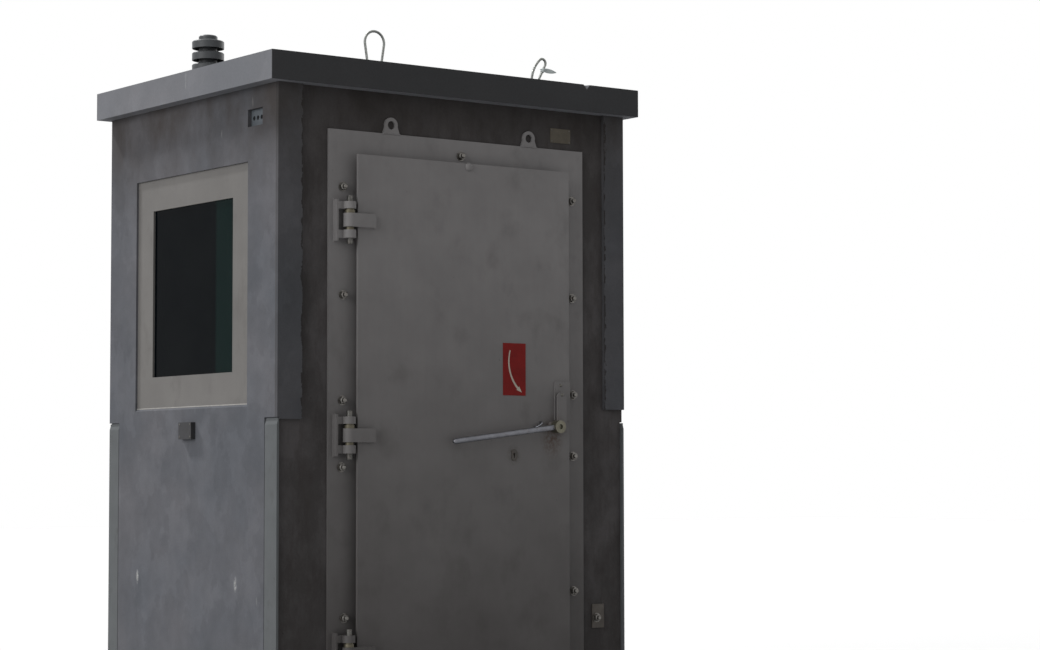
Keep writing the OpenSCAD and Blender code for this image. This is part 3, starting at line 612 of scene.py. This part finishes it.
def weld_tree():
    """A row of overlapping ripples along every edge of the carrier, as a hand-laid weld bead."""
    tree, size = node_group("weld_beads", ("Width", "Pitch"), ("Seed",))
    path = even_path(tree, size, size["Pitch"])
    aim = add(tree, "FunctionNodeAlignRotationToVector",
              {"Vector": add(tree, "GeometryNodeInputTangent")}, axis="Z")
    length = add(tree, "ShaderNodeMath", (size["Pitch"], 1.1), operation="MULTIPLY")
    ripple = add(tree, "GeometryNodeTransform", {
        "Geometry": add(tree, "GeometryNodeMeshIcoSphere", {"Radius": 1, "Subdivisions": 2}),
        "Scale": add(tree, "ShaderNodeCombineXYZ", (size["Width"], size["Width"], length))})
    uneven = add(tree, "FunctionNodeRandomValue", {"Min": 0.82, "Max": 1.08, "Seed": size["Seed"]},
                 data_type="FLOAT")
    beads = add(tree, "GeometryNodeInstanceOnPoints", {
        "Points": path, "Instance": ripple, "Rotation": aim, "Scale": uneven})
    return close_group(tree, size, beads)


def thread_tree():
    """Rings one pitch apart up every edge of the carrier, as a coarse thread."""
    tree, size = node_group("thread_rings", ("Radius", "Pitch"))
    path = even_path(tree, size, size["Pitch"])
    root = add(tree, "ShaderNodeMath", (size["Radius"], 0.92), operation="MULTIPLY")
    half = add(tree, "ShaderNodeMath", (size["Pitch"], 0.5), operation="MULTIPLY")
    low = add(tree, "GeometryNodeMeshCone", {
        "Vertices": 24, "Radius Top": size["Radius"], "Radius Bottom": root, "Depth": half})
    high = add(tree, "GeometryNodeTransform", {"Geometry": low, "Rotation": (math.pi, 0, 0)})
    ring = add(tree, "GeometryNodeJoinGeometry", ([high, low],))
    rings = add(tree, "GeometryNodeInstanceOnPoints", {"Points": path, "Instance": ring})
    return close_group(tree, size, rings)


# A strand's radius as a share of the rope's diameter, so that strands two radii out reach its surface
STRAND_SHARE = 1 / 6
ROPE_STEP = 2.5 * MM


def rope_tree():
    """Strands that wind round a core along every edge path of the carrier."""
    tree, size = node_group("wire_rope", ("Diameter", "Lay length"), ("Strands",))
    radius = add(tree, "ShaderNodeMath", (size["Diameter"], STRAND_SHARE), operation="MULTIPLY")
    core = even_path(tree, size, ROPE_STEP)
    copies = add(tree, "GeometryNodeDuplicateElements", {"Geometry": core, "Amount": size["Strands"]},
                 domain="SPLINE")
    along = add(tree, "GeometryNodeSplineParameter").outputs["Length"]
    share = add(tree, "ShaderNodeMath", (copies.outputs["Duplicate Index"], size["Strands"]),
                operation="DIVIDE")
    turns = add(tree, "ShaderNodeMath", (along, size["Lay length"]), operation="DIVIDE")
    turns = add(tree, "ShaderNodeMath", (share, turns), operation="ADD")
    angle = add(tree, "ShaderNodeMath", (turns, 2 * math.pi), operation="MULTIPLY")
    spun = add(tree, "ShaderNodeVectorRotate", {
        "Vector": add(tree, "GeometryNodeInputNormal"), "Axis": add(tree, "GeometryNodeInputTangent"),
        "Angle": angle}, rotation_type="AXIS_ANGLE")
    reach = add(tree, "ShaderNodeMath", (radius, 2), operation="MULTIPLY")
    offset = add(tree, "ShaderNodeVectorMath", {0: spun, "Scale": reach}, operation="SCALE")
    wound = add(tree, "GeometryNodeSetPosition", {"Geometry": copies, "Offset": offset})
    both = add(tree, "GeometryNodeJoinGeometry", ([wound, core],))
    profile = add(tree, "GeometryNodeCurvePrimitiveCircle", {"Resolution": 8, "Radius": radius})
    tube = add(tree, "GeometryNodeCurveToMesh", {"Curve": both, "Profile Curve": profile, "Fill Caps": True})
    return close_group(tree, size, add(tree, "GeometryNodeSetShadeSmooth", {"Geometry": tube}))


class BOOTH_OT_studs(bpy.types.Operator):
    """Add studs, washers and nuts on the door frame and the earthing plate"""
    bl_idname = "booth.studs"
    bl_label = "Studs and nuts"
    # Places on the frame, across and up, down each side and at the middle of the top
    places = ((-0.487, 1.957), (-0.485, 1.583), (-0.488, 1.220), (-0.491, 0.991), (-0.479, 0.477),
              (0.509, 1.969), (0.510, 1.611), (0.513, 1.257), (0.513, 1.033), (0.515, 0.543), (0.011, 2.099))
    # From the earthing plate's lower left corner, and how far the plate stands out
    earth_stud = (20 * MM, 37 * MM)
    earth_plate_depth = 5 * MM
    earth_sizes = {"Nut width": 24 * MM, "Nut height": 11 * MM, "Stud radius": 8.2 * MM,
                   "Stud length": 18 * MM, "Washer radius": 17 * MM}

    def execute(self, context):
        sizes = context.scene.booth_fasteners
        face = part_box("door_frame")[0][1]
        # Plating on the nuts is dull, and rust has started under the washers
        steel = bare_metal("zinc_plated_nuts", "#6a6865", 0.35, 0.35)
        frame_sizes = {label: getattr(sizes, label.lower().replace(" ", "_")) for label in self.earth_sizes}
        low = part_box("earth_plate")[0]
        earth = (low[0] + self.earth_stud[0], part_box("front_left_pier")[0][1] - self.earth_plate_depth,
                 low[2] + self.earth_stud[1])
        for name, points, lengths, seed, slot in (
                ("frame_studs", [(x, face, z) for x, z in self.places], frame_sizes, 4, "door_frame"),
                ("earth_stud_nut", [earth], self.earth_sizes, 9, "earth_plate")):
            grow(name, "booth", points_object(name, points, FORWARDS), fastener_tree(),
                 {**lengths, "Seed": seed, "Material": steel})
        return {"FINISHED"}


class BOOTH_OT_small_heads(bpy.types.Operator):
    """Add rivets and screw heads on the small plates and the boss on the leaf"""
    bl_idname = "booth.small_heads"
    bl_label = "Rivets and heads"
    # Screw on the backing plate and bolt on the guard, from the guard's middle, face and top
    guard_heads = ((7 * MM, 17 * MM, -15 * MM), (1 * MM, 0, -50 * MM))
    # Boss at the leaf's top edge: across, and down from the edge
    boss = (19 * MM, 12 * MM)

    def execute(self, context):
        steel = bare_metal("dull_rivets", "#55534f", 0.5, 0.3)
        primer = bpy.data.materials[PRIMER]
        low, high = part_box("latch_guard")
        across = middle("latch_guard")[0]
        heads = [(across + x, low[1] + y, high[2] + z) for x, y, z in self.guard_heads]
        leaf_low, leaf_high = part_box("door_plate")
        boss = [(self.boss[0], leaf_low[1], leaf_high[2] - self.boss[1])]
        tree = dome_tree()
        for name, points, facing, radius, height, material, body, slot in (
                ("label_rivets", self.corners("label_plate", 6 * MM, 1), FORWARDS, 3 * MM, 1.5 * MM,
                 steel, "booth", "label_plate"),
                ("port_screws", self.corners("port_cover", 8 * MM, 0), LEFTWARDS, 3 * MM, 1.5 * MM,
                 steel, "booth", "port_cover"),
                ("guard_heads", heads, FORWARDS, 6 * MM, 4 * MM, steel, "door", "latch_guard"),
                ("leaf_boss", boss, FORWARDS, 15 * MM, 10 * MM, primer, "door", "door_plate")):
            grow(name, body, points_object(name, points, facing), tree,
                 {"Radius": radius, "Height": height, "Material": material})
        return {"FINISHED"}

    def corners(self, node, inset, axis):
        """The corners of a plate's outer face, drawn in by an inset; it faces along X or Y, axis 0 or 1."""
        low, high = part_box(node)
        points = []
        for across in (low[1 - axis] + inset, high[1 - axis] - inset):
            for z in (low[2] + inset, high[2] - inset):
                points.append((across, low[1], z) if axis else (low[0], across, z))
        return points


class BOOTH_OT_welds(bpy.types.Operator):
    """Lay weld beads along the hinge bars, the straps and the lifting eyes, and pale mortar round the
    windows, partly painted highlight
    """
    bl_idname = "booth.welds"
    bl_label = "Weld beads"
    bar_width = 7 * MM
    eye_reach = 35 * MM
    edge_radius = 4 * MM
    mortar_inset = 1 * MM
    weld_width = 2.6 * MM
    mortar_width = 3.2 * MM
    pitch = 3.5 * MM

    def execute(self, context):
        face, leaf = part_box("door_frame")[0][1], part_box("door_plate")[0]
        booth, door, mortar = [], [], []
        for bar, strap in zip(hinge_boxes("hinge_brackets"), hinge_boxes("hinge_straps")):
            left, right = bar[0][0], bar[0][0] + self.bar_width
            bottom, top, end = bar[0][2], bar[1][2], strap[1][0]
            for x in (left, right):
                booth += [(x, face, bottom), (x, face, top)]
            for z in (bottom, top):
                booth += [(left, face, z), (right, face, z)]
            door += [(end, leaf[1], strap[0][2]), (end, leaf[1], strap[1][2])]
            for z in (strap[0][2], strap[1][2]):
                door += [(leaf[0] + self.edge_radius, leaf[1], z), (end, leaf[1], z)]
        low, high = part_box("frame_lifting_eyes")
        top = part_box("door_frame")[1][2]
        for eye in (low[0] + self.eye_reach, high[0] - self.eye_reach):
            booth += [(eye - self.eye_reach, face, top), (eye + self.eye_reach, face, top)]
        # Pale mortar closes the joint below each window frame and up its front edge; its paleness is partly
        # painted highlight where light catches those edges
        low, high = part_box("window_frames")
        for x in (low[0] + self.mortar_inset, high[0] - self.mortar_inset):
            for end in ((x, high[1], low[2]), (x, low[1], high[2])):
                mortar += [(x, low[1], low[2]), end]
        primer = bpy.data.materials[PRIMER]
        # The mortar's pale colour is partly painted highlight
        pale = painted_steel("pale_mortar", "#8f8d8a", 50 * MM, 0.0, 0.9)
        tree = weld_tree()
        for name, ends, body, slot, width, material in (
                ("frame_weld_beads", booth, "booth", "door_frame", self.weld_width, primer),
                ("strap_weld_beads", door, "door", "hinge_straps", self.weld_width, primer),
                ("window_mortar_and_highlight", mortar, "booth", "window_frames", self.mortar_width, pale)):
            grow(name, body, runs_object(name, ends), tree,
                 {"Width": width, "Pitch": self.pitch, "Seed": 7, "Material": material})
        return {"FINISHED"}


# Heights above, between and below the three hinges
HINGE_GAPS = (math.inf, 1.45, 0.75, -math.inf)


def hinge_boxes(node):
    """The low and high corners of each separate piece of a hinge node, from top to bottom."""
    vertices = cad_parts[node].data.vertices
    points = np.empty(len(vertices) * 3)
    vertices.foreach_get("co", points)
    points = points.reshape(-1, 3)
    heights = points[:, 2]
    parts = [points[(heights < top) & (heights > low)] for top, low in zip(HINGE_GAPS, HINGE_GAPS[1:])]
    return [(part.min(0), part.max(0)) for part in parts]


class BOOTH_OT_pin_threads(bpy.types.Operator):
    """Cut coarse threads into view on the ends of the hinge pins"""
    bl_idname = "booth.pin_threads"
    bl_label = "Pin threads"
    # Where the threads start above and below a bracket's middle, and stop short of the pin's end
    above = 66 * MM
    below = 64 * MM
    short = 1.5 * MM
    depth = 0.7 * MM

    def execute(self, context):
        points = []
        for pin, bracket in zip(hinge_boxes("hinge_pins"), hinge_boxes("hinge_brackets")):
            x, y, _ = (pin[0] + pin[1]) / 2
            centre = (bracket[0][2] + bracket[1][2]) / 2
            points += [(x, y, z) for z in (centre + self.above, pin[1][2] - self.short,
                                           pin[0][2] + self.short, centre - self.below)]
        radius = float(pin[1][0] - pin[0][0]) / 2
        grow("pin_threads", "booth", runs_object("pin_threads", points), thread_tree(),
             {"Radius": radius + self.depth, "Pitch": context.scene.booth_fasteners.thread_pitch,
              "Material": bpy.data.materials[PIN_STEEL]})
        return {"FINISHED"}


def rope_path(x, y, z, lean, steps, depth):
    """Points along a wire loop, in metres from millimetres: straight lengths that each end in a bend."""
    def ahead(angle):
        return np.array([math.sin(angle), math.cos(angle)])

    def aside(angle):
        return np.array([math.cos(angle), -math.sin(angle)])

    heading = math.radians(lean)
    spot = np.array([x, z], dtype=float)
    points = [spot - depth * ahead(heading)]
    for straight, radius, bend in steps:
        spot = spot + straight * ahead(heading)
        points.append(spot)
        side = math.copysign(radius, bend)
        centre = spot + side * aside(heading)
        # One point for every 4 degrees of a bend
        count = max(4, int(abs(bend) / 4)) if bend else 0
        for i in range(1, count + 1):
            points.append(centre - side * aside(heading + math.radians(bend) * i / count))
        heading += math.radians(bend)
        spot = points[-1]
    return [(p[0] * MM, y * MM, p[1] * MM) for p in points]


class BOOTH_OT_ropes(bpy.types.Operator):
    """Lay the two wire rope lifting loops out of twisted strands"""
    bl_idname = "booth.ropes"
    bl_label = "Wire rope loops"
    # Top of the roof and how deep the ends are cast in, in millimetres
    roof = 2400
    depth = 60
    # Foot across and along, lean in degrees, and each length with the radius and degrees of its bend
    loops = ((4, -23, 0, ((6, 60, -9), (167, 43, 198), (167, 60, -9), (66, 0, 0))),
             (518, -330, 9, ((66, 116, 40), (0, 15.5, 159), (105, 60, -19), (64, 0, 0))))

    def execute(self, context):
        rope = context.scene.booth_rope
        points, edges = [], []
        for x, y, lean, steps in self.loops:
            start = len(points)
            points += rope_path(x, y, self.roof, lean, steps, self.depth)
            edges += [(i, i + 1) for i in range(start, len(points) - 1)]
        mesh = bpy.data.meshes.new("rope_route")
        mesh.from_pydata(points, edges, [])
        # Galvanised wire is pale and matt, with rust between the strands
        steel = bare_metal("galvanised_wire", "#8d8f8c", 0.5, 0.3)
        ropes = grow("wire_rope_loops", "booth", mesh_object("rope_route", mesh),
                     rope_tree(), {"Diameter": rope.diameter, "Strands": rope.strands,
                                   "Lay length": rope.lay, "Material": steel})
        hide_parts("lifting_loops")
        return {"FINISHED"}


class BOOTH_OT_arrow(bpy.types.Operator):
    """Paint a plain curved arrow on the red sign plate"""
    bl_idname = "booth.arrow"
    bl_label = "Curved arrow"
    # Degrees where the shaft starts, that it sweeps, and that its tip goes on
    start, sweep, tip_sweep = 163, 62, 10
    steps = 24
    thickness = 0.4 * MM

    def execute(self, context):
        low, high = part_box("sign_plate")
        width, height = high[0] - low[0], high[2] - low[2]
        face = low[1] - self.thickness
        radius, half = height * 0.72, width * 0.04
        head = half * 2.2
        centre = (low[0] + width * 0.25 + radius, (low[2] + high[2]) / 2 + radius * 0.21)
        shape = bmesh.new()

        def corner(away, degrees):
            turn = math.radians(degrees)
            return shape.verts.new((centre[0] + away * math.cos(turn), face,
                                    centre[1] + away * math.sin(turn)))

        outer, inner = [], []
        for i in range(self.steps + 1):
            along = i / self.steps
            reach = half * (0.6 + 0.4 * along)
            outer.append(corner(radius + reach, self.start + self.sweep * along))
            inner.append(corner(radius - reach, self.start + self.sweep * along))
        for i in range(self.steps):
            shape.faces.new((outer[i], outer[i + 1], inner[i + 1], inner[i]))
        end = self.start + self.sweep
        shape.faces.new((corner(radius + head, end), corner(radius, end + self.tip_sweep),
                         corner(radius - head, end)))
        solid = bmesh.ops.extrude_face_region(shape, geom=shape.faces[:])
        moved = [v for v in solid["geom"] if isinstance(v, bmesh.types.BMVert)]
        bmesh.ops.translate(shape, verts=moved, vec=(0, self.thickness, 0))
        bmesh.ops.recalc_face_normals(shape, faces=shape.faces[:])
        mesh = bpy.data.meshes.new("sign_arrow")
        shape.to_mesh(mesh)
        shape.free()
        mesh.materials.append(enamel("white_enamel", "#a39b90", 0.5))
        keep("sign_arrow", mesh, "door")
        return {"FINISHED"}


def direct_view(tree):
    """1 where a surface or the world is looked at, straight, in a reflection or through glass."""
    rays = add(tree, "ShaderNodeLightPath").outputs
    seen = add(tree, "ShaderNodeMath", (rays["Is Camera Ray"], rays["Is Glossy Ray"]), operation="MAXIMUM")
    return add(tree, "ShaderNodeMath", (seen, rays["Is Transmission Ray"]), operation="MAXIMUM")


class BOOTH_OT_stage(bpy.types.Operator):
    """Set up the floor, the soft lights and the camera"""
    bl_idname = "booth.stage"
    bl_label = "Stage and camera"
    # Name, direction of the source, strength and apparent size in degrees
    lamps = (("sun_from_behind", (-0.20, 0.62, 0.76), 3.2, 5),
             ("sky_from_the_left", (-0.94, -0.15, 0.30), 1.8, 40),
             ("sky_from_the_right", (0.95, 0.15, 0.28), 0.8, 40))
    picture_width = 1040
    sensor_width = 36
    world_strength = 0.4
    floor_reach = 40

    def execute(self, context):
        scene = context.scene
        scene.view_settings.view_transform = "Standard"
        self.floor()
        self.world(scene)
        for name, source, strength, softness in self.lamps:
            lamp = bpy.data.lights.new(name, "SUN")
            lamp.energy = strength
            lamp.angle = math.radians(softness)
            obj = bpy.data.objects.new(name, lamp)
            scene.collection.objects.link(obj)
            obj.rotation_euler = Vector(source).to_track_quat("Z", "Y").to_euler()
        self.camera(scene, scene.booth_stage)
        return {"FINISHED"}

    def floor(self):
        mesh = bpy.data.meshes.new("floor")
        reach = self.floor_reach
        corners = [(-reach, -reach, 0), (reach, -reach, 0), (reach, reach, 0), (-reach, reach, 0)]
        mesh.from_pydata(corners, [], [(0, 1, 2, 3)])
        # A matt painted floor: pale where it is looked at, darker for the light it throws on the booth
        material, tree, _ = new_material("pale_studio_floor")
        tone = cover(tree, "#aaaaaa", ("#d6d6d6", direct_view(tree)))
        surface = add(tree, "ShaderNodeBsdfPrincipled", {"Base Color": tone, "Roughness": 0.9})
        add(tree, "ShaderNodeOutputMaterial", (surface,))
        mesh.materials.append(material)
        mesh_object("floor", mesh)

    def world(self, scene):
        scene.world = bpy.data.worlds.new("studio")
        scene.world.use_nodes = True
        tree = scene.world.node_tree
        tree.nodes.clear()
        plain, white = (add(tree, "ShaderNodeBackground", {"Color": (1, 1, 1), "Strength": strength})
                        for strength in (self.world_strength, 1))
        add(tree, "ShaderNodeOutputWorld", {
            "Surface": add(tree, "ShaderNodeMixShader", (direct_view(tree), plain, white))})

    def camera(self, scene, stage):
        camera = bpy.data.cameras.new("camera")
        camera.sensor_width = self.sensor_width
        camera.sensor_fit = "HORIZONTAL"
        camera.lens = stage.focal_pixels / self.picture_width * self.sensor_width
        camera.clip_end = 200
        scene.camera = bpy.data.objects.new("camera", camera)
        scene.collection.objects.link(scene.camera)
        place = Matrix.Translation(stage.camera_place)
        for angle, axis in ((-stage.heading, "Z"), (math.pi / 2 + stage.pitch, "X"), (stage.roll, "Z")):
            place @= Matrix.Rotation(angle, 4, axis)
        scene.camera.matrix_world = place


OPERATORS = (BOOTH_OT_concrete, BOOTH_OT_steelwork, BOOTH_OT_fittings, BOOTH_OT_studs, BOOTH_OT_small_heads,
             BOOTH_OT_welds, BOOTH_OT_pin_threads, BOOTH_OT_ropes, BOOTH_OT_arrow, BOOTH_OT_stage)


class BOOTH_PT_panel(bpy.types.Panel):
    """Lists the booth's sizes, colours and steps"""
    bl_idname = "BOOTH_PT_panel"
    bl_label = "Guard booth"
    bl_space_type = "VIEW_3D"
    bl_region_type = "UI"
    bl_category = "Booth"

    def draw(self, context):
        for group in GROUPS:
            settings = getattr(context.scene, scene_name(group))
            box = self.layout.box()
            for key in group.__annotations__:
                box.prop(settings, key)
        for operator in OPERATORS:
            self.layout.operator(operator.bl_idname)


def scene_name(group):
    """The name that a settings group has on the scene, such as booth_concrete."""
    return "booth_" + group.__name__.removeprefix("Booth").lower()


def register():
    for item in GROUPS + OPERATORS + (BOOTH_PT_panel,):
        bpy.utils.register_class(item)
    for group in GROUPS:
        setattr(bpy.types.Scene, scene_name(group), PointerProperty(type=group))


def unregister():
    for group in GROUPS:
        delattr(bpy.types.Scene, scene_name(group))
    for item in (BOOTH_PT_panel,) + OPERATORS[::-1] + GROUPS[::-1]:
        bpy.utils.unregister_class(item)


def main():
    register()
    for operator in OPERATORS:
        group, name = operator.bl_idname.split(".")
        getattr(getattr(bpy.ops, group), name)()


if __name__ == "__main__":
    main()
